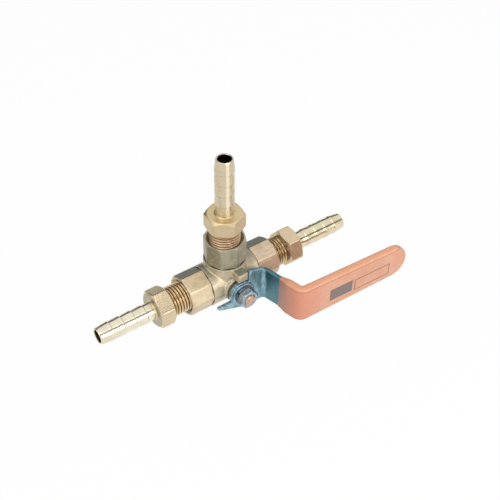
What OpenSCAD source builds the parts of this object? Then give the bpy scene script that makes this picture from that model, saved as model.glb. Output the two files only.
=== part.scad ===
// Three way ball valve with three hose nipples and a cranked lever.
// Frame: origin where the port axes cross, run along X, branch up +Z,
// stem towards -Y, lever towards +X. Millimetres.

/* [Ports] */
// End cap octagon, across flats
cap_af = 17; // [16.5:0.1:20]
// Length of the octagon on each end cap
cap_len = 10.3; // [9.2:0.1:10.4]
// Bore through the ball, seats, caps and nipples
bore_d = 5.5; // [4:0.1:5.6]
// Pipe thread on the nipples, over the crests
pipe_thread_d = 13.16; // [12.4:0.02:13.4]
// Pitch of the pipe thread
pipe_pitch = 1.337; // [1:0.001:1.6]
// Depth of the pipe thread flanks
pipe_thread_depth = 0.72; // [0.3:0.02:0.9]
// Length of pipe thread screwed into the top cap
pipe_engaged = 7.8; // [6:0.1:8.2]
// Length of pipe thread screwed into the right cap
pipe_engaged_right = 6.9; // [6:0.1:8.2]
// Length of pipe thread screwed into the left cap
pipe_engaged_left = 6.3; // [5.5:0.1:8.2]
// Depth of the threaded hole in a cap
pipe_hole = 8.4; // [8.4:0.1:8.8]
// Countersink at the cap mouth, diameter
mouth_d = 15.8; // [14.4:0.1:16.2]
// Countersink at the cap mouth, depth
mouth_depth = 1; // [0.5:0.1:2]
// Turned chamfer on the octagon's outer end
cap_chamfer = 0.35; // [0.1:0.05:0.6]

/* [Body] */
// Centre of the valve to the body's left and top end faces
body_reach = 11.3; // [10.6:0.1:14]
// Centre of the valve to the body's right end face
body_reach_right = 12.4; // [10.6:0.1:14]
// Outside diameter of the run and the branch
body_d = 18.4; // [17.8:0.1:21]
// Inside diameter of the ball chamber
chamber_d = 12.8; // [12.5:0.1:13.2]
// Thread that joins each end cap to the body, over the crests
cap_thread_d = 13.8; // [13.5:0.1:14.4]
// Thickness of the gasket under each cap
gasket_t = 0.2; // [0.15:0.05:0.8]
// Outside diameter of the gasket under each cap
gasket_d = 17.6; // [15:0.1:18]
// Diameter of the round bonnet that carries the stem
bonnet_d = 12.4; // [11:0.1:13.4]
// Valve axis to the face of the bonnet
bonnet_reach = 9.95; // [9.7:0.05:10.4]

/* [Stop lug] */
// Width of the stop lug
lug_w = 4.8; // [3.6:0.1:5.6]
// Space between the lever's round plate and the lug
lug_clear = 0.9; // [0.4:0.1:1.4]
// Step from the body's end face back to the lug's outer face
lug_inset = 0.4; // [0.2:0.1:1.2]
// Lug stands this far above the lever plate
lug_proud = 0.3; // [0:0.1:1.5]
// Space left between the lug and the lever's ear at rest
ear_gap = 0.6; // [0.2:0.05:0.8]
// Space left between the lug and the lever's tab at the other stop
tab_gap = 0.35; // [0.2:0.05:0.8]

/* [Ball and seats] */
// Diameter of the ball
ball_d = 12; // [11.6:0.05:12.2]
// Height of the flat under the stem, from the centre
ball_flat = 4.9; // [4.5:0.05:5.1]
// Width of the slot that takes the stem's tang
slot_w = 2.7; // [2:0.1:3.2]
// Depth of that slot
slot_depth = 1.6; // [1:0.1:1.9]
// Outside diameter of a seat ring
seat_d = 9; // [8.6:0.05:9]
// Depth of the pocket that holds a seat ring in its cap
seat_pocket = 0.8; // [0.5:0.1:1.6]
// Centre of the ball to the near face of a seat ring
seat_reach = 4.55; // [4.55:0.05:4.9]
// Clearance between the ball and a seat
seat_clear = 0.03; // [0.02:0.01:0.08]

/* [Stem] */
// Diameter of the stem where it turns in the bonnet
stem_d = 6; // [5.6:0.1:6.4]
// Diameter of the flange that keeps the stem in
flange_d = 7; // [6.9:0.1:7.2]
// Thickness of that flange
flange_t = 1.2; // [0.8:0.1:1.25]
// Thickness of the thrust washer on the flange
thrust_t = 0.65; // [0.4:0.05:0.75]
// Distance across the two flats that drive the lever
drive_flats = 5.1; // [5.05:0.05:5.4]
// Thread for the lever's nut, over the crests
stem_thread_d = 5; // [4.2:0.1:5]
// Valve axis to the outer end of the stem
stem_reach = 19; // [18.6:0.1:22]
// Cross section of the stem's sealing rings
ring_t = 0.8; // [0.6:0.05:0.9]
// Depth of the ring grooves below the stem's surface
groove_depth = 0.8; // [0.65:0.05:0.9]
// Distance between the two sealing rings
ring_pitch = 1.3; // [1.15:0.05:1.35]
// Running clearance of turning fits, on the radius
run_clear = 0.05; // [0.02:0.01:0.1]

/* [Hose nipples] */
// Hexagon across flats
hex_af = 15.2; // [14:0.1:16.4]
// Length of the hexagon
hex_len = 7; // [5:0.1:9]
// Length of pipe thread on a nipple, up to the hexagon
thread_len = 13.7; // [12:0.1:16]
// Diameter of the hexagon's flat face on the tail side
hex_face_d = 14.4; // [13:0.1:15]
// How far the chamfer round that face runs down the corners
hex_front_chamfer = 0.9; // [0.4:0.1:1.6]
// Length of the hose tail, from the hexagon to the tip
tail_len = 26.9; // [25:0.1:36]
// The same on the left nipple, which is cut shorter
tail_len_left = 25.4; // [24:0.1:36]
// Small cone where the tail leaves the hexagon, diameter at the hexagon
shoulder_d = 8.8; // [8.4:0.1:12]
// Length of that cone
shoulder_len = 0.5; // [0.3:0.1:2]
// Hose tail over the barbs
barb_d = 8.3; // [8:0.1:9.2]
// Hose tail between the barbs
tail_d = 7.8; // [7.4:0.1:8]
// Hose tail at its tip
tip_d = 7; // [6.6:0.1:7.4]
// Number of barbs
barbs = 4; // [2:1:4]
// Distance from one barb to the next, and from the tip to the first
barb_pitch = 5.2; // [4:0.1:5.4]
// Width of the flat land on each barb
barb_land = 0.5; // [0.3:0.05:0.8]
// Turn of the left hexagon after tightening
hex_turn_left = -6; // [-30:1:30]
// Turn of the right hexagon after tightening
hex_turn_right = -20; // [-30:1:30]
// Turn of the top hexagon after tightening
hex_turn_top = 23; // [-30:1:30]

/* [Lever] */
// Thickness of the lever steel
steel_t = 2; // [1.8:0.1:2.4]
// Gap between the bonnet and the lever
lever_gap = 1.35; // [0.9:0.05:1.6]
// Half width of the lever at its first bend
plate_half = 8; // [7.4:0.1:8.4]
// Radius of the lever's plate round the stem
plate_r = 5.9; // [5:0.1:6.1]
// Stem axis to the first bend
bend_x = 11.55; // [11:0.05:13]
// Sideways run of the crank between the two bends
crank_run = 4.35; // [3:0.05:8]
// Height of the crank between the two bends
crank_rise = 19.95; // [16:0.05:26]
// Middle radius of both bends
bend_r = 3; // [2.6:0.1:3.6]
// Stem axis to the end of the lever, over the sleeve
lever_reach = 72; // [60:0.5:110]
// Outward slope of the grip, as a rise over its length
grip_rise = 1.95; // [0:0.05:4]
// Half width of the steel at its second bend
grip_half = 7.5; // [6.8:0.05:7.8]
// Half width of the steel at its rounded end
tip_half = 6.7; // [6:0.05:7.2]
// Height of the ear beside the stop lug
ear_top = 10.3; // [9.4:0.1:11]
// Reach of the tab that meets the lug at the other stop
tab_reach = 12.1; // [11:0.1:12.5]

/* [Lever sleeve] */
// Wall of the soft sleeve
sleeve_wall = 1.1; // [0.6:0.05:1.5]
// Clearance between sleeve and steel
sleeve_clear = 0.02; // [0.02:0.01:0.1]
// Valve axis to the open end of the sleeve
sleeve_start = 21.4; // [18:0.1:24]

/* [Lever fastening] */
// Outside diameter of the plain washer
washer_d = 11; // [9:0.1:11.5]
// Thickness of the plain washer
washer_t = 0.8; // [0.5:0.1:1.2]
// Outside diameter of the spring washer
spring_d = 9; // [8:0.1:9.6]
// Thickness of the spring washer
spring_t = 1; // [0.8:0.1:1.3]
// Nut across flats
nut_af = 8; // [7:0.1:8.6]
// Height of the nut
nut_h = 3.2; // [2.5:0.1:3.3]
// Clearance of threads and of the lever's hole, on the radius
thread_clear = 0.02; // [0.02:0.01:0.1]

/* [Hidden] */
$fn = 64;
eps = 0.01;
cut = 1;

// Small allowances
end_gap = 0.1;
runout = 0.6;
groove_side = 0.1;
ring_clear = 0.02;
stem_chamfer = 0.4;
lug_root = 1.2;
slit_w = 0.8;
slit_angle = 140;
nut_turn = 12;
tab_round = 0.5;
ear_round = 1.2;
hex_back_chamfer = 0.8;
barb_step = 0.3;
tip_chamfer = 0.3;
thread_land = 0.2;

// Ports, measured from the centre of the valve
bore_reach = max(body_reach, body_reach_right) + cut;
lug_inner = plate_r + lug_clear;
lug_outer = body_reach - lug_inset;
spigot_end = cap_thread_d / 2 + end_gap;
seat_end = spigot_end + seat_pocket;
nipple_end = body_reach + gasket_t + cap_len - pipe_engaged;
nipple_end_right = body_reach_right + gasket_t + cap_len - pipe_engaged_right;
nipple_end_left = body_reach + gasket_t + cap_len - pipe_engaged_left;

// Hose nipple, measured from its inner end
hex_end = thread_len + hex_len;

// Stem, measured from the centre of the valve
flange_from = ball_flat + end_gap;
flange_to = flange_from + flange_t;
thrust_seat = flange_to + thrust_t;
groove_r = stem_d / 2 - groove_depth;
groove_w = ring_t + 2 * groove_side;
ring_mid = (thrust_seat + bonnet_reach) / 2;
lever_back = bonnet_reach + lever_gap;
lever_front = lever_back + steel_t;
washer_front = lever_front + washer_t;
spring_front = washer_front + spring_t;
nut_front = spring_front + nut_h;
lug_front = lever_front + lug_proud;

// Lever, seen along the stem
ear_x = lug_w / 2 + ear_gap;
tab_edge = lug_w / 2 + tab_gap;
tip_x = lever_reach - tip_half - sleeve_wall;
// The flanks end this far inside the tip's round, so that they cross it cleanly
flank_inset = 0.1;

// Lever, seen from above: the middle line of the steel
lever_mid = lever_back + steel_t / 2;
bend_1 = [bend_x, -lever_mid];
bend_2 = [bend_x + crank_run, -lever_mid - crank_rise];
// The grip starts to narrow past the second bend
taper_x = bend_2.x + bend_r;
path_start = [-lever_reach, -lever_mid];
path_end = bend_2 + (lever_reach - bend_2.x + cut) * [1, -grip_rise / (lever_reach - bend_2.x)];
tall = 4 * ear_top;

function across_flats_d(af, sides) = af / cos(180 / sides);
function unit(v) = v / norm(v);
function side(v) = [-v.y, v.x];
function turn(u, v) = atan2(u.x * v.y - u.y * v.x, u * v);

// Turned outlines are profiles of [radius, height]
module turned(profile) {
    rotate_extrude() polygon(profile);
}

// A round solid between two heights
module round_bar(d, from, to) {
    translate([0, 0, from]) cylinder(d = d, h = to - from);
}

// A nut-like prism between two heights, its corners turned off at both ends
module turned_prism(af, sides, from, to, chamfer_from, chamfer_to, face_from_d, face_to_d) {
    corner_d = across_flats_d(af, sides);
    intersection() {
        translate([0, 0, from]) cylinder(d = corner_d, h = to - from, $fn = sides);
        turned([[0, from], [face_from_d / 2, from], [corner_d / 2 + eps, from + chamfer_from],
                [corner_d / 2 + eps, to - chamfer_to], [face_to_d / 2, to], [0, to]]);
    }
}

// Frames: local +Z points out of a port or along the stem
module left_port() {
    rotate([0, -90, 0]) children();
}
module right_port() {
    rotate([0, 90, 0]) children();
}
module top_port() {
    children();
}
module each_port() {
    left_port() children();
    right_port() children();
    top_port() children();
}
module along_stem() {
    rotate([90, 0, 0]) children();
}

// Body: run, branch, bonnet and stop lug in one forging
module valve_body() {
    color("darkkhaki")
    difference() {
        union() {
            left_port() round_bar(body_d, 0, body_reach);
            right_port() round_bar(body_d, 0, body_reach_right);
            top_port() round_bar(body_d, 0, body_reach);
            along_stem() round_bar(bonnet_d, 0, bonnet_reach);
            along_stem() stop_lug();
        }
        each_port() round_bar(chamber_d, 0, bore_reach);
        each_port() round_bar(cap_thread_d, spigot_end - end_gap, bore_reach);
        along_stem() round_bar(flange_d + 2 * end_gap, 0, thrust_seat);
        along_stem() round_bar(stem_d + 2 * run_clear, 0, bonnet_reach + cut);
    }
}
module stop_lug() {
    root = body_d / 2 - lug_root;
    translate([-lug_w / 2, lug_inner, root]) cube([lug_w, lug_outer - lug_inner, lug_front - root]);
}

// End caps: an octagon outside, a screwed spigot inside, a pipe thread through the mouth
module end_cap(reach) {
    base = reach + gasket_t;
    face = base + cap_len;
    color("burlywood")
    difference() {
        union() {
            turned_prism(cap_af, 8, base, face, 0, cap_chamfer, cap_af, cap_af);
            round_bar(cap_thread_d - 2 * thread_clear, spigot_end, base + eps);
        }
        round_bar(bore_d, 0, face);
        round_bar(seat_d + 2 * thread_clear, spigot_end - cut, seat_end);
        round_bar(pipe_thread_d + 2 * thread_clear, face - pipe_hole, face + cut);
        turned([[0, face - mouth_depth], [pipe_thread_d / 2, face - mouth_depth],
                [mouth_d / 2, face], [mouth_d / 2, face + cut], [0, face + cut]]);
    }
}
module end_cap_left() {
    left_port() end_cap(body_reach);
}
module end_cap_right() {
    right_port() end_cap(body_reach_right);
}
module end_cap_top() {
    top_port() end_cap(body_reach);
}

// Gaskets between the caps and the body
module cap_gasket(reach) {
    color("dimgray")
    difference() {
        round_bar(gasket_d, reach, reach + gasket_t);
        round_bar(cap_thread_d, reach - cut, reach + gasket_t + cut);
    }
}
module cap_gasket_left() {
    left_port() cap_gasket(body_reach);
}
module cap_gasket_right() {
    right_port() cap_gasket(body_reach_right);
}
module cap_gasket_top() {
    top_port() cap_gasket(body_reach);
}

// Seat rings, hollowed to the ball
module ball_seat() {
    color("white")
    difference() {
        round_bar(seat_d, seat_reach, seat_end);
        round_bar(bore_d, 0, seat_end + cut);
        sphere(d = ball_d + 2 * seat_clear);
    }
}
module ball_seat_left() {
    left_port() ball_seat();
}
module ball_seat_right() {
    right_port() ball_seat();
}
module ball_seat_top() {
    top_port() ball_seat();
}

// Hose nipples: pipe thread, hexagon, shoulder and barbed tail in one turned piece
module hose_nipple(tail) {
    tip = hex_end + tail;
    color("goldenrod")
    difference() {
        union() {
            turned(pipe_profile());
            turned_prism(hex_af, 6, thread_len, hex_end, hex_back_chamfer, hex_front_chamfer,
                         hex_af - 2 * end_gap, hex_face_d);
            turned(tail_profile(tip));
        }
        round_bar(bore_d, -cut, tip + cut);
        turned([[0, tip - tip_chamfer], [bore_d / 2, tip - tip_chamfer],
                [bore_d / 2 + tip_chamfer, tip + eps], [0, tip + eps]]);
    }
}
module hose_nipple_left() {
    left_port() translate([0, 0, nipple_end_left]) rotate([0, 0, hex_turn_left])
        hose_nipple(tail_len_left);
}
module hose_nipple_right() {
    right_port() translate([0, 0, nipple_end_right]) rotate([0, 0, hex_turn_right])
        hose_nipple(tail_len);
}
module hose_nipple_top() {
    top_port() translate([0, 0, nipple_end]) rotate([0, 0, hex_turn_top])
        hose_nipple(tail_len);
}

// Pipe thread as a stack of rings, the same depth and pitch as the thread
function pipe_rings() = floor((thread_len - runout) / pipe_pitch);
function pipe_profile() =
    let (crest = pipe_thread_d / 2, root = crest - pipe_thread_depth, n = pipe_rings(),
         first = thread_len - runout - n * pipe_pitch)
    concat(
        [[0, 0], [root, 0]],
        [for (i = [0:n - 1], corner = [[root, 0], [crest, pipe_pitch / 2 - thread_land],
                                       [crest, pipe_pitch / 2 + thread_land]])
            [corner.x, first + i * pipe_pitch + corner.y]],
        [[root, first + n * pipe_pitch], [root, thread_len + eps], [0, thread_len + eps]]);

// Hose tail: each barb rises from the tip side and drops on the hexagon side
function tail_profile(tip) =
    let (crest = barb_d / 2, low = tail_d / 2)
    concat(
        [[0, hex_end - eps], [shoulder_d / 2, hex_end - eps], [low, hex_end + shoulder_len]],
        [for (i = [barbs:-1:1], corner = [[low, -barb_land - barb_step], [crest, -barb_land], [crest, 0]])
            [corner.x, tip - i * barb_pitch + corner.y]],
        [[tip_d / 2, tip], [0, tip]]);

// Ball: an L bore that joins the left port and the branch at rest
module ball() {
    color("silver")
    difference() {
        sphere(d = ball_d);
        sphere(d = bore_d);
        left_port() round_bar(bore_d, 0, ball_d);
        top_port() round_bar(bore_d, 0, ball_d);
        along_stem() translate([-ball_d, -ball_d, ball_flat]) cube([2 * ball_d, 2 * ball_d, ball_d]);
        along_stem() translate([-ball_d, -slot_w / 2, ball_flat - slot_depth])
            cube([2 * ball_d, slot_w, ball_d]);
    }
}

// Stem: tang, flange, two ring grooves, two drive flats and the nut's thread
module stem() {
    tang_w = slot_w - 2 * run_clear;
    tang_from = ball_flat - slot_depth + end_gap;
    drive_end = lever_front - end_gap;
    color("rosybrown")
    along_stem()
    difference() {
        union() {
            intersection() {
                round_bar(flange_d, tang_from, flange_from + eps);
                translate([-flange_d, -tang_w / 2, tang_from]) cube([2 * flange_d, tang_w, flange_to]);
            }
            round_bar(flange_d, flange_from, flange_to);
            round_bar(stem_d, flange_from, lever_back);
            intersection() {
                round_bar(stem_d, flange_to, drive_end);
                translate([-stem_d, -drive_flats / 2, flange_to]) cube([2 * stem_d, drive_flats, drive_end]);
            }
            turned([[0, flange_to], [stem_thread_d / 2, flange_to],
                    [stem_thread_d / 2, stem_reach - stem_chamfer],
                    [stem_thread_d / 2 - stem_chamfer, stem_reach], [0, stem_reach]]);
        }
        ring_groove(-1);
        ring_groove(1);
    }
}
module ring_groove(place) {
    mid = ring_mid + place * ring_pitch / 2;
    difference() {
        round_bar(stem_d + cut, mid - groove_w / 2, mid + groove_w / 2);
        round_bar(2 * groove_r, mid - groove_w, mid + groove_w);
    }
}

// Slippery washer between the stem's flange and the body
module thrust_washer() {
    color("white")
    along_stem()
    difference() {
        round_bar(flange_d, flange_to, thrust_seat);
        round_bar(stem_d + 2 * run_clear, flange_to - cut, thrust_seat + cut);
    }
}

// Two rubber rings that seal the stem
module stem_ring(place) {
    color("black")
    along_stem()
    translate([0, 0, ring_mid + place * ring_pitch / 2])
    rotate_extrude() translate([groove_r + ring_t / 2 + ring_clear, 0]) circle(d = ring_t);
}
module stem_ring_inner() {
    stem_ring(-1);
}
module stem_ring_outer() {
    stem_ring(1);
}

// Lever: a strip of steel, bent twice, cut to a stop plate at the stem
module lever() {
    color("cadetblue")
    difference() {
        lever_shape(0);
        along_stem() linear_extrude(2 * lever_front) intersection() {
            circle(d = stem_d + 2 * thread_clear);
            square([2 * stem_d, drive_flats + 2 * thread_clear], center = true);
        }
    }
}
module lever_shape(grow) {
    intersection() {
        linear_extrude(tall, center = true) bent_strip(steel_t + 2 * grow);
        along_stem() linear_extrude(tall + crank_rise) lever_outline(grow);
    }
}

// The lever seen from above: three straight stretches and two bends
module bent_strip(thick) {
    along_1 = unit(bend_2 - bend_1);
    along_2 = unit(path_end - bend_2);
    set_1 = bend_r * tan(abs(turn([1, 0], along_1)) / 2);
    set_2 = bend_r * tan(abs(turn(along_1, along_2)) / 2);
    start_1 = bend_1 - [set_1, 0];
    start_2 = bend_2 - set_2 * along_1;
    straight(path_start, start_1, thick);
    bend(start_1, bend_1, bend_1 + set_1 * along_1, start_1 - bend_r * side([1, 0]), thick);
    straight(bend_1 + set_1 * along_1, start_2, thick);
    bend(start_2, bend_2, bend_2 + set_2 * along_2, start_2 + bend_r * side(along_1), thick);
    straight(bend_2 + set_2 * along_2, path_end, thick);
}
module straight(from, to, thick) {
    out = side(unit(to - from)) * thick / 2;
    polygon([from - out, to - out, to + out, from + out]);
}
module bend(from, corner, to, centre, thick) {
    intersection() {
        translate(centre) difference() {
            circle(r = bend_r + thick / 2);
            circle(r = bend_r - thick / 2);
        }
        polygon([centre, centre + 2 * (from - centre), centre + 3 * (corner - centre),
                 centre + 2 * (to - centre)]);
    }
}

// The lever seen along the stem: ring, ear, stop tab and the long strip
module lever_outline(grow) {
    circle(r = plate_r);
    polygon([[ear_x, 0], [0, 0], [0, -tab_edge], [tab_round - tab_reach, -tab_edge],
             [tab_round - tab_reach, -tab_edge - 2 * tab_round], [0, -plate_half - grow],
             [bend_x, -plate_half - grow], [taper_x, -grip_half - grow],
             [tip_x, flank_inset - tip_half - grow], [tip_x, tip_half + grow - flank_inset],
             [taper_x, grip_half + grow], [bend_x, plate_half + grow],
             [ear_x + ear_round, ear_top], [ear_x, ear_top - ear_round]]);
    translate([ear_x + ear_round, ear_top - ear_round]) circle(r = ear_round);
    translate([tab_round - tab_reach, -tab_edge - tab_round]) circle(r = tab_round);
    translate([tip_x, 0]) circle(r = tip_half + grow);
}

// Soft sleeve pulled over the crank and the grip
module lever_sleeve() {
    color("darksalmon")
    difference() {
        lever_shape(sleeve_wall);
        lever_shape(sleeve_clear);
        translate([-lever_reach, -sleeve_start, -tall / 2]) cube([2 * lever_reach, sleeve_start, tall]);
    }
}

// What holds the lever down
module plain_washer() {
    color("lightsteelblue")
    along_stem()
    difference() {
        round_bar(washer_d, lever_front, washer_front);
        round_bar(stem_thread_d + 2 * thread_clear, lever_front - cut, washer_front + cut);
    }
}
module spring_washer() {
    color("slategray")
    along_stem()
    difference() {
        round_bar(spring_d, washer_front, spring_front);
        round_bar(stem_thread_d + 2 * thread_clear, washer_front - cut, spring_front + cut);
        rotate([0, 0, slit_angle]) translate([0, -slit_w / 2, washer_front - cut])
            cube([spring_d, slit_w, spring_t + 2 * cut]);
    }
}
module lever_nut() {
    nut_chamfer = (across_flats_d(nut_af, 6) - nut_af) / 2 * tan(30);
    color("lightsteelblue")
    along_stem() rotate([0, 0, nut_turn])
    difference() {
        turned_prism(nut_af, 6, spring_front, nut_front, nut_chamfer, nut_chamfer,
                     nut_af, nut_af);
        round_bar(stem_thread_d + 2 * thread_clear, spring_front - cut, nut_front + cut);
    }
}

valve_body();
end_cap_left();
end_cap_right();
end_cap_top();
cap_gasket_left();
cap_gasket_right();
cap_gasket_top();
ball_seat_left();
ball_seat_right();
ball_seat_top();
hose_nipple_left();
hose_nipple_right();
hose_nipple_top();
ball();
stem();
thrust_washer();
stem_ring_inner();
stem_ring_outer();
lever();
lever_sleeve();
plain_washer();
spring_washer();
lever_nut();
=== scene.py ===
# %% [markdown]
# # A three way ball valve, dressed for its portrait
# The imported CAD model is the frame: it says where every piece sits and how the lever turns.
# This lesson puts a finer skin over it: real screw threads, turned hose tails, forged brass with
# soft corners, a dipped vinyl grip, and a finish for every surface. Nothing here changes a size
# or a place, so each new piece starts from the box of the CAD node that it stands for.

# %% Load the frame
import math

import bmesh
import bpy
from mathutils import Matrix, Vector


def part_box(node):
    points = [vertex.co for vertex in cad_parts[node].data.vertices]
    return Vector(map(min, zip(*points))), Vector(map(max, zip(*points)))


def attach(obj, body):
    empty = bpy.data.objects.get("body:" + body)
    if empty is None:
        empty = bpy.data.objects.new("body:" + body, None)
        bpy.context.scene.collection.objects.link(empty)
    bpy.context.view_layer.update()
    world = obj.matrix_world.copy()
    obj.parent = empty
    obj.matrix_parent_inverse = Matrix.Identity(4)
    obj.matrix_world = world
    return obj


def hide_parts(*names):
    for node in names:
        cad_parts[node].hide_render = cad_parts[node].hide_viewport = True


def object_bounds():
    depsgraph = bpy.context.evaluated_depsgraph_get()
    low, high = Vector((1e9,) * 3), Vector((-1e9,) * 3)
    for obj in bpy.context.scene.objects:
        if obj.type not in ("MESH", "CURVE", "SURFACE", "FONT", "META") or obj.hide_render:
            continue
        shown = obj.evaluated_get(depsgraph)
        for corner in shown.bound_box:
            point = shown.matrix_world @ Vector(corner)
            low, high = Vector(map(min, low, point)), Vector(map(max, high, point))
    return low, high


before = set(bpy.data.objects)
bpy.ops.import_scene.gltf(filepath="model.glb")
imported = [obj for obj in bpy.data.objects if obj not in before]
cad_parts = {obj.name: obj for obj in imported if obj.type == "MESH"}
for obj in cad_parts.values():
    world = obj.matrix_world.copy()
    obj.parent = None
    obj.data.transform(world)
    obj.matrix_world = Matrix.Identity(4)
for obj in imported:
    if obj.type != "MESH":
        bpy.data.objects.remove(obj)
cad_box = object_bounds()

scene = bpy.context.scene
print("CAD box in mm:", [[round(1000 * c, 1) for c in corner] for corner in cad_box])

# %% [markdown]
# ## Sizes
# Lengths below are in millimetres, as on a fitter's drawing, and turn into metres when a piece
# is finished. The pipe thread is quarter-inch pipe: 13.16 mm over the crests, 1.337 mm pitch.
# The left nipple's tail is a little shorter than the other two. A hair is what a height has to
# pass a limit by, so that the row of points on the limit is taken in or left out for certain.

# %% Sizes in millimetres
MM = 0.001
HAIR = 0.01
BORE_R = 2.75
THREAD_R = 6.58
THREAD_DEPTH = 0.72
THREAD_PITCH = 1.337
THREAD_LEN = 13.7
THREAD_LEAD = 0.7
HEX_R = 7.6
HEX_FACE_R = 7.2
HEX_CHAMFER = 0.9
HEX_BACK_CHAMFER = 0.75
HEX_LEN = 7.0
HEX_END = THREAD_LEN + HEX_LEN
SHOULDER_R = 4.3
SHOULDER_LEN = 0.45
TAIL_LEN = {"left": 25.4, "right": 26.9, "top": 26.9}
TAIL_R = 3.9
BARB_R = 4.15
BARB_COUNT = 4
BARB_PITCH = 5.2
BARB_LAND = 0.45
BARB_SLOPE = 0.3
TIP_R = 3.5
CAP_R = 8.5
CAP_LEN = 10.3
print("the right nipple is", round(HEX_END + TAIL_LEN["right"], 1), "mm long")

# %% [markdown]
# ## Helpers for turned pieces
# Most of a valve is made on a lathe, so most pieces are a half outline spun round an axis. The
# outline is drawn as one flat face of (radius, height) corners. Bevelling its corners before
# the spin breaks the edges the way a turning tool does. The spin closes on itself, its first
# and last rows are merged, and the normals are worked out again because a spin can end inside out.

# %% Draw, soften and spin an outline
TURN_STEPS = 240


def outline(corners, soft=0.08):
    """A flat face with the outline's corners at (radius, height), each corner softened."""
    shape = bmesh.new()
    shape.faces.new([shape.verts.new((r, 0, z)) for r, z in corners])
    if soft:
        bmesh.ops.bevel(shape, geom=shape.verts[:], offset=soft, affect="VERTICES", segments=2,
                        profile=0.5, material=-1, clamp_overlap=True)
    return shape


def rows_between(shape, low, high, step):
    """Cuts the outline's edges between two heights into rows about a step apart."""
    for edge in shape.edges[:]:
        heights = [v.co.z for v in edge.verts]
        cuts = round(edge.calc_length() / step) - 1
        if cuts > 0 and low <= min(heights) and max(heights) <= high:
            bmesh.ops.subdivide_edges(shape, edges=[edge], cuts=cuts)


def spin_shape(shape, steps=TURN_STEPS):
    """Spins the outline into a closed solid round the Z axis."""
    bmesh.ops.delete(shape, geom=shape.faces[:], context="FACES_ONLY")
    bmesh.ops.spin(shape, geom=shape.verts[:] + shape.edges[:], cent=(0, 0, 0), axis=(0, 0, 1),
                   angle=2 * math.pi, steps=steps, use_merge=True)
    bmesh.ops.remove_doubles(shape, verts=shape.verts[:], dist=0.0005)
    bmesh.ops.recalc_face_normals(shape, faces=shape.faces[:])


# %% Turn a finished shape into a piece of the valve
SMOOTH_ANGLE = math.radians(35)
pieces = {}


def new_object(name, shape):
    """Links an object that has the shape as its mesh. The shape itself is used up."""
    mesh = bpy.data.meshes.new(name)
    shape.to_mesh(mesh)
    shape.free()
    thing = bpy.data.objects.new(name, mesh)
    scene.collection.objects.link(thing)
    return thing


def make_piece(name, shape, nodes, body, place=None):
    """Puts a shape drawn in millimetres at its place in metres, where it stands for the nodes."""
    if place is not None:
        bmesh.ops.transform(shape, matrix=place, verts=shape.verts[:])
    bmesh.ops.scale(shape, vec=(MM, MM, MM), verts=shape.verts[:])
    open_edges = sum(not e.is_manifold for e in shape.edges)
    piece = new_object(name, shape)
    piece.data.shade_smooth()
    piece.data.set_sharp_from_angle(angle=SMOOTH_ANGLE)
    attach(piece, body)
    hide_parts(*nodes)
    pieces[name] = piece
    print(f"{name}: {len(piece.data.polygons)} faces, {open_edges} open edges")


# %% [markdown]
# ## Wrench flats
# A hexagon or octagon on a turned part is milled from round stock. The same order works here:
# spin the round blank, then pull each point in to the nearest flat. A soft minimum of the two
# radii leaves the small rounded edge that tumbling leaves on real brass, and where a flat runs
# out into a turned chamfer the curved arc appears by itself.

# %% Soft minimum and flats
def soft_min(a, b, blend):
    """The smaller of two lengths, rounded where they are nearly equal."""
    closeness = max(blend - abs(a - b), 0) / blend
    return min(a, b) - closeness * closeness * blend / 4


def mill_flats(shape, low, high, count, inner_r, turn=0.0, blend=0.25):
    """Pulls the points between two heights in to the flats of a regular prism."""
    sector = 2 * math.pi / count
    for v in shape.verts:
        r = math.hypot(v.co.x, v.co.y)
        if not (low <= v.co.z <= high and r > inner_r - blend):
            continue
        angle = (math.atan2(v.co.y, v.co.x) - turn) % sector - sector / 2
        flat = inner_r / math.cos(angle)
        v.co.xy *= soft_min(r, flat, blend) / r


# %% [markdown]
# ## Screw thread
# A thread is a groove that climbs one pitch for each turn. On the spun blank each point's
# radius follows a V whose phase is its height minus its angle, which gives a right-handed
# screw without joining a separate coil. At both ends the crests run out to the depth of the root.

# %% Cut a thread
FLANK_SHARE = 0.86
RUNOUT = 0.7
SKIN_DEPTH = 0.3


def cut_thread(shape, low, high, crest_r, depth, pitch):
    """Cuts a right-handed V thread into the blank's outer skin between two heights."""
    for v in shape.verts:
        r = math.hypot(v.co.x, v.co.y)
        if not (low <= v.co.z <= high and r > crest_r - SKIN_DEPTH):
            continue
        phase = (v.co.z / pitch - math.atan2(v.co.y, v.co.x) / (2 * math.pi)) % 1
        crest = min(1 - abs(2 * phase - 1), FLANK_SHARE) / FLANK_SHARE
        fade = min((high - v.co.z) / RUNOUT, (v.co.z - low) / RUNOUT, 1)
        v.co.xy *= (crest_r - depth + depth * crest * max(fade, 0)) / r


# %% [markdown]
# ## Where the ports point
# The three caps are one part, and so are the nipples, but for the left one's shorter tail. They
# are screwed into ports that point left, right and up, so each is drawn standing on the Z axis
# and turned into place. Tightening stops each hexagon at its own angle, here in degrees.

# %% Port directions
PORTS = {
    "left": Matrix.Rotation(math.radians(-90), 4, "Y"),
    "right": Matrix.Rotation(math.radians(90), 4, "Y"),
    "top": Matrix.Identity(4),
}
HEX_TURN = {"left": -6, "right": -20, "top": 23}


def port_far(node, port):
    """How far a node reaches out along its port, in millimetres."""
    low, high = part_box(node)
    return {"left": -low.x, "right": high.x, "top": high.z}[port] / MM


# %% [markdown]
# ## Hose nipples
# One turned piece: pipe thread, wrench hexagon, a small shoulder, and a tail with four barbs that
# a hose slides over and can't slide back from. Spinning one outline keeps the bore, the barbs
# and the shoulder exact, and the thread and the hexagon are then cut into the blank.

# %% Hose nipples
THREAD_ROW = 0.11
HEX_ROW = 0.25


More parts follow.
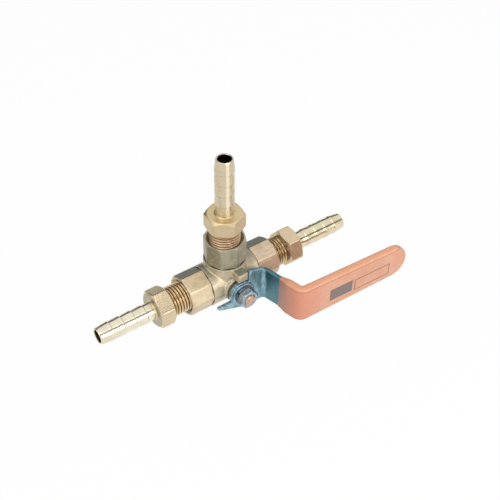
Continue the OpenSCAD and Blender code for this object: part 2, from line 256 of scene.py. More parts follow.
def nipple_outline(tip):
    """Half section of a nipple whose tip is this far from its threaded end."""
    corner_r = HEX_R / math.cos(math.pi / 6) - 0.12
    corners = [(BORE_R, 0), (THREAD_R - THREAD_DEPTH, 0), (THREAD_R, THREAD_LEAD),
               (THREAD_R, THREAD_LEN), (HEX_R - 0.1, THREAD_LEN),
               (corner_r, THREAD_LEN + HEX_BACK_CHAMFER), (corner_r, HEX_END - HEX_CHAMFER),
               (HEX_FACE_R, HEX_END), (SHOULDER_R, HEX_END + HAIR),
               (TAIL_R, HEX_END + SHOULDER_LEN)]
    for barb in range(BARB_COUNT, 0, -1):
        top = tip - barb * BARB_PITCH
        corners += [(TAIL_R, top - BARB_LAND - BARB_SLOPE), (BARB_R, top - BARB_LAND),
                    (BARB_R, top)]
    corners += [(TIP_R + 0.12, tip - 0.5), (TIP_R - 0.1, tip),
                (BORE_R + 0.3, tip), (BORE_R, tip - 0.3)]
    return corners


for port, swing in PORTS.items():
    node = "hose_nipple_" + port
    tip = HEX_END + TAIL_LEN[port]
    blank = outline(nipple_outline(tip), soft=0.06)
    rows_between(blank, 0.5, THREAD_LEN + HAIR, THREAD_ROW)
    rows_between(blank, THREAD_LEN, HEX_END + 0.3, HEX_ROW)
    spin_shape(blank)
    cut_thread(blank, 0.6, THREAD_LEN - 0.1, THREAD_R, THREAD_DEPTH, THREAD_PITCH)
    mill_flats(blank, THREAD_LEN + HAIR, HEX_END - 2 * HAIR, 6, HEX_R)
    start = port_far(node, port) - tip
    tightened = Matrix.Rotation(math.radians(HEX_TURN[port]), 4, "Z")
    place = swing @ Matrix.Translation((0, 0, start)) @ tightened
    make_piece("nipple_" + port, blank, [node], "valve", place)

# %% [markdown]
# ## End caps
# Each cap is an octagon with a threaded mouth that holds a nipple, and a spigot that screws
# into the body and presses a seat against the ball. Only the octagon and the mouth show, but
# the whole section is spun so that the piece is hollow like the real one.

# %% End caps
CAP_THREAD_R = 6.88
SPIGOT_END = 7.0
SEAT_POCKET = 0.8
SEAT_R = 4.52
PIPE_HOLE = 8.4
PIPE_CLEAR = 0.05
MOUTH_R = 7.9
MOUTH_DEPTH = 1.0
CAP_CHAMFER = 0.5
CAP_ROW = 0.3


def cap_outline(base, face):
    """Half section of a cap whose octagon stands between these two heights."""
    corner_r = CAP_R / math.cos(math.pi / 8) - 0.07
    pipe_r = THREAD_R + PIPE_CLEAR
    hole, pocket = face - PIPE_HOLE, SPIGOT_END + SEAT_POCKET
    return [(SEAT_R, SPIGOT_END), (CAP_THREAD_R, SPIGOT_END), (CAP_THREAD_R, base),
            (corner_r, base), (corner_r, face - CAP_CHAMFER), (CAP_R + 0.02, face),
            (MOUTH_R, face), (pipe_r, face - MOUTH_DEPTH), (pipe_r, hole), (BORE_R, hole),
            (BORE_R, pocket), (SEAT_R, pocket)]


for port, swing in PORTS.items():
    node = "end_cap_" + port
    face = port_far(node, port)
    base = face - CAP_LEN
    blank = outline(cap_outline(base, face), soft=0.09)
    rows_between(blank, base - HAIR, face + HAIR, CAP_ROW)
    spin_shape(blank)
    mill_flats(blank, base - HAIR, face + HAIR, 8, CAP_R)
    make_piece("cap_" + port, blank, [node], "valve", swing)

# %% [markdown]
# ## The forged body
# A tee forging has no knife edges: where the branch leaves the run there is a small fillet,
# and the lug's corners are soft. A voxel remesh of the merged CAD solid followed by a few
# rounds of smoothing gives just that, and keeps the chamber inside.

# %% Forged body
def merged_copy(node):
    """A node's loose triangles as one closed shape in millimetres."""
    shape = bmesh.new()
    shape.from_mesh(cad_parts[node].data)
    bmesh.ops.scale(shape, vec=(1 / MM,) * 3, verts=shape.verts[:])
    bmesh.ops.remove_doubles(shape, verts=shape.verts[:], dist=0.002)
    return shape


def forged(node, voxel, rounds):
    """A closed copy with every corner softened as a forging's are."""
    holder = new_object("rough_" + node, merged_copy(node))
    remesh = holder.modifiers.new("skin", "REMESH")
    remesh.mode = "VOXEL"
    remesh.voxel_size = voxel
    skinned = holder.evaluated_get(bpy.context.evaluated_depsgraph_get())
    shape = bmesh.new()
    shape.from_mesh(skinned.to_mesh())
    skinned.to_mesh_clear()
    bpy.data.objects.remove(holder)
    for _ in range(rounds):
        bmesh.ops.smooth_vert(shape, verts=shape.verts[:], factor=0.5,
                              use_axis_x=True, use_axis_y=True, use_axis_z=True)
    return shape


make_piece("forged_body", forged("valve_body", voxel=0.25, rounds=4), ["valve_body"],
           "valve")

# %% [markdown]
# ## Sheared and pressed steel
# The lever is cut from strip, bent twice and plated. Shearing leaves slightly rounded edges,
# so the merged CAD solid is cleaned of its flat triangles and each real edge gets a narrow bevel.

# %% Soften the edges of a copy
SHARP_ANGLE = math.radians(28)
FLAT_ANGLE = math.radians(1)


def softened(node, width, segments=2):
    """A merged copy whose true edges are bevelled."""
    shape = merged_copy(node)
    bmesh.ops.dissolve_limit(shape, angle_limit=FLAT_ANGLE, verts=shape.verts[:],
                             edges=shape.edges[:], use_dissolve_boundaries=False)
    edges = [e for e in shape.edges if e.is_manifold and e.calc_face_angle() > SHARP_ANGLE]
    bmesh.ops.bevel(shape, geom=edges, offset=width, affect="EDGES", segments=segments,
                    profile=0.5, material=-1, clamp_overlap=True)
    bmesh.ops.triangulate(shape, faces=[f for f in shape.faces if len(f.verts) > 4])
    return shape


make_piece("lever_strip", softened("lever", 0.28, segments=3), ["lever"], "handle")

# %% [markdown]
# ## Washers, nut and stem end
# The plain washer and the nut are spun, the nut milled to its hexagon afterwards. The spring
# washer, which is one turn of square wire with a gap, and the stem keep the shape of their CAD
# solids, with softened edges.

# %% Lever fastening
STEM = Matrix.Rotation(math.radians(90), 4, "X")
THREAD_HOLE_R = 2.52
WASHER_R = 5.5
WASHER_STEPS = 128
NUT_R = 4.0
NUT_TURN = 12
NUT_CHAMFER = 0.45
NUT_ROW = 0.15
HOLE_WIDENING, HOLE_CHAMFER = 0.25, 0.2


def along_stem(node):
    """From and to along the stem, in millimetres."""
    low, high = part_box(node)
    return -high.y / MM, -low.y / MM


low, high = along_stem("plain_washer")
blank = outline([(THREAD_HOLE_R, low), (WASHER_R, low), (WASHER_R, high), (THREAD_HOLE_R, high)],
                soft=0.18)
spin_shape(blank, WASHER_STEPS)
make_piece("washer_plain", blank, ["plain_washer"], "handle", STEM)
make_piece("washer_spring", softened("spring_washer", 0.12), ["spring_washer"],
           "handle")

low, high = along_stem("lever_nut")
nut_corner = NUT_R / math.cos(math.pi / 6) - 0.06
hole_mouth = THREAD_HOLE_R + HOLE_WIDENING
blank = outline([(THREAD_HOLE_R, low + HOLE_CHAMFER), (hole_mouth, low), (NUT_R - 0.15, low),
                 (nut_corner, low + NUT_CHAMFER), (nut_corner, high - NUT_CHAMFER),
                 (NUT_R - 0.15, high), (hole_mouth, high),
                 (THREAD_HOLE_R, high - HOLE_CHAMFER)], soft=0.05)
rows_between(blank, low - HAIR, high + HAIR, NUT_ROW)
spin_shape(blank)
mill_flats(blank, low - HAIR, high + HAIR, 6, NUT_R, math.radians(NUT_TURN), blend=0.15)
make_piece("nut", blank, ["lever_nut"], "handle", STEM)

make_piece("stem_spindle", softened("stem", 0.12), ["stem"], "handle")

# %% [markdown]
# ## The dipped sleeve
# The grip is a soft vinyl sleeve. It hugs the steel, its rim is round, its open end thins to a
# lip and its far end closes over the rounded steel. One sheet of quads is wrapped into it: rows
# run along the lever from the tip to the lip, turn over the lip and run back inside, and the
# columns go once round the section. Wrapping a grid keeps the quads even round both bends.

# %% Lever path
STEEL_HALF = 1.0
STEEL_EDGE_R = 0.3
BEND_R = 3.0
PLATE_HALF = 8.0
GRIP_HALF = 7.5
TIP_HALF = 6.7
LEVER_MID = 12.3
BEND_1 = Vector((11.55, -LEVER_MID))
BEND_2 = Vector((15.9, -LEVER_MID - 19.95))
LEVER_REACH = 72.0
GRIP_RISE = 1.95
SLEEVE_FROM = 21.4
OUTER_WALL, LIP_WALL, CLEAR = 1.1, 0.3, 0.02
LIP_R = 0.35
LIP_TAPER = 5.0
LIP_ROW = 0.15
TIP_TRIM = 0.04

crank = (BEND_2 - BEND_1).normalized()
grip = Vector((LEVER_REACH - BEND_2.x, -GRIP_RISE)).normalized()
bend_angle = crank.angle(grip)
bend_set = BEND_R * math.tan(bend_angle / 2)
crank_len = (BEND_2.y + SLEEVE_FROM) / crank.y - bend_set
bend_len = BEND_R * bend_angle


def on_path(s):
    """Point and outward normal of the lever's middle line, s millimetres past the sleeve's lip."""
    if s < crank_len:
        along, point = crank, BEND_2 - crank * (bend_set + crank_len - s)
    elif s < crank_len + bend_len:
        turned = (s - crank_len) / BEND_R
        centre = BEND_2 - crank * bend_set + Vector((-crank.y, crank.x)) * BEND_R
        along = Matrix.Rotation(turned, 2) @ crank
        point = centre - Vector((-along.y, along.x)) * BEND_R
    else:
        along, point = grip, BEND_2 + grip * (bend_set + s - crank_len - bend_len)
    return point, Vector((along.y, -along.x))


bend_end = crank_len + bend_len
tip_x = LEVER_REACH - TIP_HALF - OUTER_WALL - TIP_TRIM
taper_x = BEND_2.x + BEND_R
tip_centre = (tip_x - BEND_2.x) / grip.x - bend_set + bend_end
print("sleeve runs", round(tip_centre + TIP_HALF + OUTER_WALL, 1), "mm along the lever")


# %% Wrap the sleeve
def half_width(x):
    """Half width of the steel at a distance from the stem."""
    crank_share = min(max((x - BEND_1.x) / (taper_x - BEND_1.x), 0), 1)
    grip_share = min(max((x - taper_x) / (tip_x - taper_x), 0), 1)
    return PLATE_HALF + (GRIP_HALF - PLATE_HALF) * crank_share + (TIP_HALF - GRIP_HALF) * grip_share


def skin_point(s, angle, wall, edge_r):
    """A point on a skin that stands a wall's thickness off the steel."""
    ca, sa = math.cos(angle), math.sin(angle)
    thick = STEEL_HALF + wall
    into = edge_r * (1 - abs(ca))
    past = max(s - tip_centre, 0)
    middle, normal = on_path(s)
    face = 1 if sa >= 0 else -1
    wide = half_width(middle.x + normal.x * face * thick) + wall
    rim = wide - past
    into_now = min(into, max(rim, 0))
    lateral = math.sqrt(max((wide - into) ** 2 - past ** 2, 0))
    height = thick - edge_r + math.sqrt(max(edge_r ** 2 - (edge_r - into_now) ** 2, 0))
    spot = middle + normal * height * face
    return (spot.x, spot.y, lateral * (1 if ca >= 0 else -1))


def spaced(start, stop, count, ease=False):
    """Evenly spaced values, or values that crowd towards the end."""
    ticks = [i / count for i in range(count + 1)]
    if ease:
        ticks = [math.sin(t * math.pi / 2) for t in ticks]
    return [start + (stop - start) * t for t in ticks]


def stations(first, last, crank_rows, bend_rows, grip_rows, tip_rows):
    """Distances along the sleeve for one skin, closest together where it rounds the tip."""
    return (spaced(first, crank_len, crank_rows) + spaced(crank_len, bend_end, bend_rows)[1:]
            + spaced(bend_end, tip_centre, grip_rows)[1:]
            + spaced(tip_centre, last, tip_rows, ease=True)[1:])


QUARTER = [0.01] + list(range(9, 90, 9)) + [89.99]
SECTION = [math.radians(90 * quarter + a) for quarter in range(4) for a in QUARTER]
rows = []
for s in stations(LIP_ROW, tip_centre + TIP_HALF + OUTER_WALL, 14, 14, 30, 24):
    grow = min(s / LIP_TAPER, 1)
    wall = LIP_WALL + (OUTER_WALL - LIP_WALL) * grow * grow * (3 - 2 * grow)
    rows.append((s, wall, LIP_R + wall))
rows.reverse()
rows.append((0.0, 0.6 * LIP_WALL, LIP_R))
for s in [LIP_ROW] + stations(1.0, tip_centre + TIP_HALF + CLEAR, 6, 10, 6, 12):
    rows.append((s, CLEAR, STEEL_EDGE_R))

sheet = bmesh.new()
bmesh.ops.create_grid(sheet, x_segments=len(rows) - 1, y_segments=len(SECTION), size=0.5)
for v in sheet.verts:
    s, wall, edge_r = rows[round((v.co.x + 0.5) * (len(rows) - 1))]
    angle = SECTION[round((v.co.y + 0.5) * len(SECTION)) % len(SECTION)]
    v.co = skin_point(s, angle, wall, edge_r)
bmesh.ops.remove_doubles(sheet, verts=sheet.verts[:], dist=0.002)
bmesh.ops.dissolve_degenerate(sheet, edges=sheet.edges[:], dist=0.001)
bmesh.ops.recalc_face_normals(sheet, faces=sheet.faces[:])
make_piece("sleeve", sheet, ["lever_sleeve"], "handle")

# %% [markdown]
# ## Shader arithmetic
# Finishes are written as arithmetic on values that vary over the surface. A small class wraps a
# socket, and each operator adds the Math node that works it out. Every other node is added by
# one function that sets the node's own settings first and its sockets after.

# %% Nodes
WHITE = (1, 1, 1, 1)


def plug(tree, socket, value):
    """Links a value or another socket to a socket, or sets the socket to a constant."""
    if isinstance(value, Value):
        value = value.socket
    if isinstance(value, bpy.types.NodeSocket):
        tree.links.new(value, socket)
    else:
        socket.default_value = value


def add_node(tree, kind, settings, sockets):
    """Adds a node: its settings first, then the values or links of its sockets."""
    node = tree.nodes.new(kind)
    for name, value in settings.items():
        setattr(node, name, value)
    for key, value in sockets.items():
        plug(tree, node.inputs[key], value)
    return node


# %% Shader arithmetic
class Value:
    """A number that varies over a surface."""

    def __init__(self, finish, socket):
        self.finish, self.socket = finish, socket

    def math(self, operation, first, second=0.0):
        node = self.finish.add("ShaderNodeMath", {"operation": operation}, {0: first, 1: second})
        return Value(self.finish, node.outputs[0])

    def __add__(self, other):
        return self.math("ADD", self, other)

    def __sub__(self, other):
        return self.math("SUBTRACT", self, other)

    def __rsub__(self, other):
        return self.math("SUBTRACT", other, self)

    def __mul__(self, other):
        return self.math("MULTIPLY", self, other)

    def __rmul__(self, other):
        return self.math("MULTIPLY", other, self)

    def __truediv__(self, other):
        return self.math("DIVIDE", self, other)

    def __pow__(self, other):
        return self.math("POWER", self, other)

    def abs(self):
        return self.math("ABSOLUTE", self)


class Finish:
    """A material with one Principled shader, built from values."""

    def __init__(self, name, **constants):
        self.material = bpy.data.materials.new(name)
        self.material.use_nodes = True
        self.tree = self.material.node_tree
        self.shader = self.tree.nodes["Principled BSDF"]
        self.place = self.add("ShaderNodeTexCoord", {}, {}).outputs["Object"]
        self.set(**constants)

    def add(self, kind, settings, sockets):
        return add_node(self.tree, kind, settings, sockets)

    def set(self, **inputs):
        """Sets inputs of the shader, such as base_color, to constants or values."""
        for name, value in inputs.items():
            plug(self.tree, self.shader.inputs[name.replace("_", " ").title()], value)

    def axes(self):
        """The three object coordinates, in millimetres."""
        split = self.add("ShaderNodeSeparateXYZ", {}, {0: self.place})
        return [Value(self, split.outputs[i]) * 1000.0 for i in range(3)]

    def noise(self, scale, detail=3.0, rough=0.55, stretch=(1, 1, 1), seed=0.0):
        """Soft random patches, scale in patches per millimetre."""
        spread = self.add("ShaderNodeMapping", {},
                          {"Vector": self.place, "Location": (seed, seed, seed),
                           "Scale": [1000.0 * s for s in stretch]})
        node = self.add("ShaderNodeTexNoise", {}, {"Vector": spread.outputs[0], "Scale": scale,
                                                   "Detail": detail, "Roughness": rough})
        return Value(self, node.outputs["Fac"])

    def band(self, value, low, high):
        """0 below low, 1 above high, smooth between."""
        node = self.add("ShaderNodeMapRange", {"interpolation_type": "SMOOTHSTEP"},
                        {"Value": value, "From Min": low, "From Max": high})
        return Value(self, node.outputs["Result"])

    def mix(self, share, one, two):
        """Colour one where share is 0, colour two where it is 1."""
        node = self.add("ShaderNodeMix", {"data_type": "RGBA"}, {"Factor": share})
        for socket, end in zip([s for s in node.inputs if s.type == "RGBA"], (one, two)):
            plug(self.tree, socket, end)
        return next(socket for socket in node.outputs if socket.type == "RGBA")

    def relief(self, height, distance, strength):
        """Bumps of a height in 0..1 times a distance in millimetres."""
        node = self.add("ShaderNodeBump", {}, {"Height": height, "Distance": distance * MM,
                                               "Strength": strength})
        plug(self.tree, self.shader.inputs["Normal"], node.outputs["Normal"])


def colour(red, green, blue):
    """A screen colour of 0..255 as the shader's linear light."""
    return tuple(((c / 255) / 12.92 if c <= 10 else ((c / 255 + 0.055) / 1.055) ** 2.4)
                 for c in (red, green, blue)) + (1.0,)


def shade_of(light, share):
    """The same colour, darker."""
    return tuple(c * share for c in light[:3]) + (1.0,)


# %% [markdown]
# ## Brass
# The body and caps are satin, and the nipples are brighter and yellower. Each port has its own
# copy of a finish, lighter or darker as painted light and shade. The sides of the caps and body
# that face back or up carry a painted grey-green shade, or painted light on the top cap. Turned
# brass carries fine rings round its axis, so each nipple's finish knows its axis: the distance
# from it finds the thread roots, which are painted dark as shade. The top tail has one painted
# highlight, a pale streak down its front right.

# %% Brass finishes
ROOT_SHADE = colour(96, 64, 36)
HIGHLIGHT_PAINT = colour(250, 238, 208)
RING_ALONG, RING_ROUND = 7.0, 0.12


def turned_brass(port, tail, tan, crest, face, hole, rough):
    """Turned brass: bright tail, tanner hexagon, pale thread crests, painted shade in roots and bore.
    """
    finish = Finish("brass_nipple_" + port, metallic=0.85, roughness=rough)
    x, y, z = finish.axes()
    height, across = {"left": (-1.0 * x, z), "right": (x, z), "top": (z, x)}[port]
    radius = (across ** 2.0 + y ** 2.0) ** 0.5
    stretch = [RING_ROUND] * 3
    stretch[2 if port == "top" else 0] = RING_ALONG
    rings = finish.noise(0.5, 3.0, 0.5, stretch)
    cloud = finish.noise(0.2, seed=0.3)
    start = port_far("hose_nipple_" + port, port) - HEX_END - TAIL_LEN[port]
    thread_end, hex_end = start + THREAD_LEN, start + HEX_END
    on_tail = finish.band(height, hex_end + 0.6, hex_end + 2.6)
    on_thread = 1.0 - finish.band(height, thread_end - 0.35, thread_end - 0.05)
    on_face = (finish.band(height, hex_end - 0.3, hex_end - 0.05)
               * finish.band(radius, SHOULDER_R, SHOULDER_R + 0.3))
    stain = finish.band(cloud * 0.6 + rings * 0.4, 0.4, 0.62)
    tone = finish.mix(on_tail, tan, tail)
    tone = finish.mix(stain * 0.35, tone, shade_of(tan, 0.8))
    tone = finish.mix(on_thread * 0.8, tone, crest)
    # The hexagon's end face round the shoulder is painted per port, dark on the left and pale on top:
    # painted shade and painted light by how light falls on it.
    tone = finish.mix(on_face * 0.6, tone, face)
    # A painted highlight: a pale streak down the top tail on the side towards the camera's right,
    # where a lamp would glint.
    if port == "top":
        across_tail = (x * 0.8 - y * 0.6) / radius
        highlight_band = finish.band(across_tail, 0.12, 0.28) * (1.0 - finish.band(across_tail, 0.42, 0.58))
        tone = finish.mix(highlight_band * on_tail * 0.8, tone, HIGHLIGHT_PAINT)
    # The thread roots are painted dark as shade in the grooves, and made rougher too.
    root_r = THREAD_R - THREAD_DEPTH
    in_root = (1.0 - finish.band(radius, root_r + 0.05, THREAD_R - 0.2)) * on_thread
    # The bore is painted dark with a hole colour given per port: painted shade inside it.
    in_bore = 1.0 - finish.band(radius, BORE_R + 0.02, BORE_R + 0.25)
    finish.set(base_color=finish.mix(in_bore, finish.mix(in_root, tone, ROOT_SHADE), hole),
               roughness=(finish.band(cloud, 0.3, 0.7) * 0.1 + (rough - 0.05)
                          + in_root * 0.3 + (1.0 - on_tail) * 0.1))
    finish.relief(rings, 0.004, 0.4)
    return finish.material


def satin_brass(name, light, shade, side_paint_tone, side_paint_facing="back", rough=0.4):
    """Satin brass with drawn streaks, darker patches and painted shade or light on a side."""
    finish = Finish(name, metallic=0.7, roughness=rough)
    cloud = finish.noise(0.18, 4.0, 0.6, seed=0.7)
    streak = finish.noise(0.9, 3.0, 0.6, (0.25, 1, 1), seed=0.1)
    facing = finish.add("ShaderNodeNewGeometry", {}, {}).outputs["Normal"]
    split = finish.add("ShaderNodeSeparateXYZ", {}, {0: facing})
    # The side facing back or up takes a set colour by its normal: a grey-green painted shade, and
    # painted light on the top cap.
    axis, low, high = {"top": (2, 0.7, 0.97), "back": (1, 0.05, 0.3)}[side_paint_facing]
    side_paint_share = finish.band(Value(finish, split.outputs[axis]), low, high)
    tone = finish.mix(finish.band(cloud * 0.6 + streak * 0.4, 0.38, 0.64), light, shade)
    finish.set(base_color=finish.mix(side_paint_share * 0.9, tone, side_paint_tone),
               roughness=streak * 0.2 + (rough - 0.1))
    finish.relief(streak * 0.5 + finish.noise(3.0) * 0.5, 0.03, 0.6)
    return finish.material


# The nipples are one part and so are the caps, yet each port gets its own copy of the finish with
# lighter or darker colours: painted light and painted shade for how light falls there.
looks = {
    "nipple_left": turned_brass(
        "left", tail=colour(238, 231, 208), tan=colour(220, 200, 166), crest=colour(232, 204, 158),
        face=colour(128, 134, 112), hole=colour(96, 84, 66), rough=0.18),
    "nipple_right": turned_brass(
        "right", tail=colour(228, 218, 186), tan=colour(216, 194, 162), crest=colour(226, 196, 150),
        face=colour(196, 176, 144), hole=colour(40, 34, 28), rough=0.18),
    "nipple_top": turned_brass(
        "top", tail=colour(210, 196, 168), tan=colour(208, 188, 152), crest=colour(196, 162, 130),
        face=colour(232, 210, 160), hole=colour(28, 24, 20), rough=0.26),
    "cap_left": satin_brass(
        "brass_cap_left", light=colour(218, 200, 168), shade=colour(196, 176, 142),
        side_paint_tone=colour(132, 138, 126)),
    "cap_right": satin_brass(
        "brass_cap_right", light=colour(212, 190, 162), shade=colour(188, 168, 142),
        side_paint_tone=colour(132, 140, 128)),
    "cap_top": satin_brass(
        "brass_cap_top", light=colour(172, 162, 136), shade=colour(142, 138, 120),
        side_paint_tone=colour(196, 186, 164), side_paint_facing="top"),
    "forged_body": satin_brass(
        "brass_body", light=colour(212, 196, 168), shade=colour(176, 164, 138),
        side_paint_tone=colour(140, 138, 122), side_paint_facing="top", rough=0.42),
}
print("brass finishes:", len(looks))

# %% [markdown]
# ## Plated steel, vinyl and what is hidden
# Zinc plating with a blue passivation gives the lever its cold tint, with streaks from the
# rolling of the strip; past the first bend the steel is painted a darker teal as shade. The
# sleeve is dipped vinyl with a skin that is smooth but not even. It is darker and warmer towards
# the stem, its crank towards the open end is painted darker as shade, and each long edge has a
# painted shade line with a painted highlight on the rim beside it. EDGE_HALF is half the
# sleeve's width at x = 0 and EDGE_TAPER what it loses per millimetre. Its face has a plain
# printed bar and an empty border beside it, each given as left, right, low and high.
# Pieces inside the body are seen only in section, but each still gets the finish of its stuff.

# %% Other finishes
FOLD_X = 11.0
GRIP_FACE = (33.4, 33.8)
BAR = (29.5, 41.5, -4.0, 2.2)
BORDER = (42.6, 62.0, -4.6, 1.6)
BORDER_LINE = 0.6
EDGE_HALF, EDGE_TAPER = 8.93, 0.0177


def plated_steel(name, light, shade, rough, grain=(1, 1, 1), shade_past_fold=None):
    """Blue-passivated zinc, with a darker teal painted as shade past the first bend where given."""
    finish = Finish(name, metallic=0.85, roughness=rough)
    streak = finish.noise(1.2, 4.0, 0.6, grain)
    cloud = finish.noise(0.25, 3.0, 0.6, seed=0.4)
    tone = finish.mix(finish.band(streak * 0.6 + cloud * 0.4, 0.36, 0.64), shade, light)
    # Past the first bend the crank turns from the light, so it is painted darker: painted shade.
    if shade_past_fold:
        x = finish.axes()[0]
        tone = finish.mix(finish.band(x, FOLD_X - 0.3, FOLD_X + 0.3) * 0.85, tone, shade_past_fold)
    finish.set(base_color=tone, roughness=cloud * 0.2 + (rough - 0.1))
    finish.relief(streak, 0.02, 0.7)
    return finish.material


def dipped_vinyl():
    """Uneven vinyl with its printed bar and border, a painted shade line and a painted rim highlight.
    """
    finish = Finish("vinyl_sleeve", roughness=0.42, coat_weight=0.1, coat_roughness=0.3)
    x, y, z = finish.axes()
    cloud = finish.noise(0.12, 3.0, 0.5)
    mottle = finish.noise(0.9, 4.0, 0.6, seed=0.6)

    def between(value, low, high, soft=0.12):
        """1 between two limits, 0 outside them."""
        return finish.band(value, low - soft, low + soft) \
            * (1.0 - finish.band(value, high - soft, high + soft))

    def patch(left, right, low, high):
        """1 inside a rectangle on the grip's face, 0 outside."""
        return between(x, left, right) * between(z, low, high)

    tone = finish.mix(finish.band(cloud, 0.3, 0.7), colour(212, 158, 129), colour(205, 147, 118))
    tone = finish.mix(1.0 - finish.band(x + cloud * 6.0, 16.0, 34.0), tone, colour(206, 135, 106))
    # The crank towards the open end is painted mauve-brown: painted shade where it turns from the
    # light.
    tone = finish.mix(finish.band(y, -31.5, -22.0), tone, colour(162, 118, 104))
    front = finish.band(-1.0 * y, *GRIP_FACE)
    left, right, low, high = BORDER
    inside = patch(left + BORDER_LINE, right - BORDER_LINE, low + BORDER_LINE, high - BORDER_LINE)
    border = patch(*BORDER) * (1.0 - inside)
    tone = finish.mix(front * border * 0.75, tone, colour(112, 72, 62))
    tone = finish.mix(front * patch(*BAR) * 0.85, tone, colour(70, 84, 88))
    # Along each long edge: a painted highlight on the rim that faces up, and a painted shade line
    # just inside it.
    across = z.abs() / (EDGE_HALF - x * EDGE_TAPER)
    edge_shade_line = finish.band(across, 0.85, 0.88) * (1.0 - finish.band(across, 0.9, 0.93))
    tone = finish.mix(finish.band(across, 0.9, 0.95) * 0.6, tone, colour(232, 170, 130))
    tone = finish.mix(edge_shade_line * 0.5, tone, colour(166, 100, 76))
    speck = finish.band(mottle, 0.35, 0.75) * 0.25
    finish.set(base_color=finish.mix(speck, tone, colour(184, 116, 92)),
               roughness=mottle * 0.14 + 0.34)
    finish.relief(mottle * 0.6 + finish.noise(4.0, 2.0) * 0.4, 0.02, 0.5)
    return finish.material


def plain_stuff(name, light, shade, rough, metallic=0.0, scale=1.0, depth=0.01):
    """One stuff in two close shades, speckled."""
    finish = Finish(name, metallic=metallic, roughness=rough)
    speckle = finish.noise(scale, 4.0, 0.6)
    finish.set(base_color=finish.mix(finish.band(speckle, 0.35, 0.65), light, shade),
               roughness=speckle * 0.1 + (rough - 0.05))
    finish.relief(speckle, depth, 0.6)
    return finish.material


looks.update({
    "lever_strip": plated_steel(
        "steel_lever", light=colour(156, 192, 206), shade=colour(100, 134, 148), rough=0.34,
        grain=(3, 0.3, 0.3), shade_past_fold=colour(74, 116, 124)),
    "washer_plain": plated_steel(
        "steel_washer", light=colour(178, 196, 204), shade=colour(120, 140, 150), rough=0.3),
    "washer_spring": plated_steel(
        "steel_spring_washer", light=colour(120, 138, 148), shade=colour(80, 98, 110), rough=0.36),
    "nut": plated_steel(
        "steel_nut", light=colour(180, 198, 208), shade=colour(116, 136, 148), rough=0.26),
    "stem_spindle": plain_stuff(
        "brass_stem", colour(204, 176, 152), colour(176, 148, 124), 0.4, metallic=0.6, scale=1.5),
    "sleeve": dipped_vinyl(),
})
hidden = {
    "cap_gasket": plain_stuff("gasket_fibre", colour(58, 52, 46), colour(36, 32, 28), 0.8, scale=2.0),
    "ball_seat": plain_stuff("seat_plastic", colour(238, 238, 232), colour(224, 224, 216), 0.5),
    "thrust_washer": plain_stuff("washer_plastic", colour(236, 234, 226), colour(220, 220, 212), 0.5),
    "ball": plain_stuff("ball_chrome", colour(226, 228, 232), colour(208, 210, 216), 0.12,
                        metallic=1.0, scale=0.6, depth=0.002),
    "stem_ring": plain_stuff("ring_rubber", colour(26, 26, 26), colour(40, 40, 40), 0.7, scale=3.0),
}
shown_as = {"hose_nipple": "nipple_top", "end_cap": "cap_top", "valve_body": "forged_body",
            "lever_sleeve": "sleeve", "lever_nut": "nut", "plain_washer": "washer_plain",
            "spring_washer": "washer_spring", "lever": "lever_strip", "stem": "stem_spindle"}


def dress(piece, material):
    """Gives a piece its one material."""
    piece.data.materials.clear()
    piece.data.materials.append(material)


for name, material in looks.items():
    dress(pieces[name], material)
stuff = {**hidden, **{start: looks[piece] for start, piece in shown_as.items()}}
for node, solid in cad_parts.items():
    dress(solid, next(material for start, material in stuff.items() if node.startswith(start)))
print("dressed", len(looks), "pieces and", len(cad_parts), "nodes")

# %% [markdown]
# ## Studio
# A white room with a pale floor, which lies just below the lever at its lowest. Mirrors and
# metal see the same white as the camera does, and the floor keeps the valve's soft shadow. Two
# long dark strips stand at the front and the back, seen by reflections alone: they give the thin
# dark lines that make turned metal look like metal. The room's lengths are in metres.

# %% Floor and world
FLOOR_GAP = 0.0012
FLOOR_SIZE = 2.5
FLOOR_GLOW = 0.94
ROOM_LIGHT = 0.55

floor_shape = bmesh.new()
bmesh.ops.create_grid(floor_shape, x_segments=1, y_segments=1, size=FLOOR_SIZE)
bmesh.ops.translate(floor_shape, vec=(0, 0, -cad_box[1][0] - FLOOR_GAP), verts=floor_shape.verts[:])
floor = new_object("studio_floor", floor_shape)


def seen_ray(tree):
    """1 for the rays of the camera, of mirrors and of glass, 0 for those that only carry light."""
    path = add_node(tree, "ShaderNodeLightPath", {}, {})
    seen = path.outputs["Is Camera Ray"]
    for kind in ("Is Glossy Ray", "Is Transmission Ray"):
        seen = add_node(tree, "ShaderNodeMath", {"operation": "MAXIMUM"},
                        {0: seen, 1: path.outputs[kind]}).outputs[0]
    return seen


paper = Finish("floor_paper", base_color=colour(244, 244, 244), roughness=0.9)
glow = paper.add("ShaderNodeEmission", {}, {"Color": WHITE, "Strength": 1.0})
share = Value(paper, seen_ray(paper.tree)) * FLOOR_GLOW
blend = paper.add("ShaderNodeMixShader", {},
                  {0: share, 1: paper.shader.outputs[0], 2: glow.outputs[0]})
plug(paper.tree, paper.tree.nodes["Material Output"].inputs["Surface"], blend.outputs[0])
dress(floor, paper.material)

world = bpy.data.worlds.new("white_room")
scene.world = world
world.use_nodes = True
tree = world.node_tree
sky = tree.nodes["Background"]
sky.inputs["Color"].default_value = WHITE
sky.inputs["Strength"].default_value = ROOM_LIGHT
backdrop = add_node(tree, "ShaderNodeBackground", {}, {"Color": WHITE, "Strength": 1.0})
choice = add_node(tree, "ShaderNodeMixShader", {},
                  {0: seen_ray(tree), 1: sky.outputs[0], 2: backdrop.outputs[0]})
plug(tree, tree.nodes["World Output"].inputs["Surface"], choice.outputs[0])


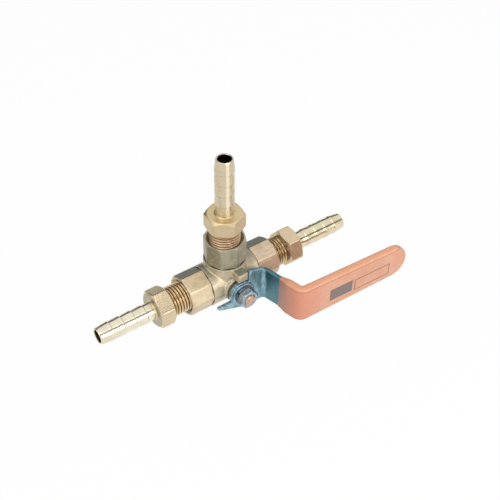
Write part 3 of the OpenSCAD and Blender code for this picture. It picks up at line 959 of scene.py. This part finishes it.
# %% Lamps
def softbox(name, spot, size, power):
    """A square lamp that looks at the valve."""
    light = bpy.data.lights.new(name, "AREA")
    light.shape, light.size, light.energy = "SQUARE", size, power
    lamp = bpy.data.objects.new(name, light)
    scene.collection.objects.link(lamp)
    lamp.location = spot
    lamp.rotation_euler = (-Vector(spot)).to_track_quat("-Z", "Y").to_euler()


softbox("key_light", (0.05, -0.75, 0.55), size=0.9, power=6.0)
softbox("fill_light", (-0.5, -0.2, 0.7), size=0.8, power=2.0)

# %% Dark strips
felt = Finish("dark_felt", base_color=colour(22, 23, 20), roughness=0.95)


def dark_strip(name, spot, length, width):
    """A long dark card along the run that only reflections see."""
    card = bmesh.new()
    bmesh.ops.create_grid(card, x_segments=1, y_segments=1, size=0.5)
    bmesh.ops.scale(card, vec=(length, width, 1), verts=card.verts[:])
    lean = Matrix.Rotation(math.atan2(spot[1], -spot[2]), 3, "X")
    bmesh.ops.rotate(card, cent=(0, 0, 0), matrix=lean, verts=card.verts[:])
    bmesh.ops.translate(card, vec=spot, verts=card.verts[:])
    strip = new_object(name, card)
    strip.visible_camera = strip.visible_diffuse = strip.visible_shadow = False
    strip.visible_transmission = strip.visible_volume_scatter = False
    dress(strip, felt.material)


dark_strip("front_strip", (0.356, -0.48, 0.532), length=2.4, width=0.3)
dark_strip("back_strip", (0.356, 0.714, 0.24), length=2.4, width=0.48)

# %% [markdown]
# ## Camera
# The camera stands at the valve's front left, about forty degrees up, with a mild perspective.
# The middle of the valve's ball lies a little to the left of the line of sight and below it, by
# the two lengths of OFF_AXIS. Lengths are in millimetres again.

# %% Camera
AZIMUTH, ELEVATION, ROLL = math.radians(-36.729), math.radians(41.94), math.radians(1.203)
DISTANCE = 386.91
OFF_AXIS = (-10.7239, -10.8217)
SENSOR, LENS = 36, 65.1973

level = Vector((math.cos(AZIMUTH), math.sin(AZIMUTH), 0))
back = Vector((math.sin(AZIMUTH) * math.cos(ELEVATION),
               -math.cos(AZIMUTH) * math.cos(ELEVATION), math.sin(ELEVATION)))
upright = back.cross(level)
right = math.cos(ROLL) * level + math.sin(ROLL) * upright
up = math.cos(ROLL) * upright - math.sin(ROLL) * level
turn = Matrix((right, up, back)).transposed()
shift = Vector((*OFF_AXIS, -DISTANCE)) * MM
camera = bpy.data.objects.new("camera", bpy.data.cameras.new("camera"))
scene.collection.objects.link(camera)
camera.matrix_world = Matrix.Translation(-(turn @ shift)) @ turn.to_4x4()
camera.data.sensor_width = SENSOR
camera.data.lens = LENS
camera.data.clip_start = 0.01
scene.camera = camera
scene.view_settings.view_transform = "Standard"
print("lens", round(camera.data.lens, 1), "mm, camera at", [round(c, 3) for c in camera.location])
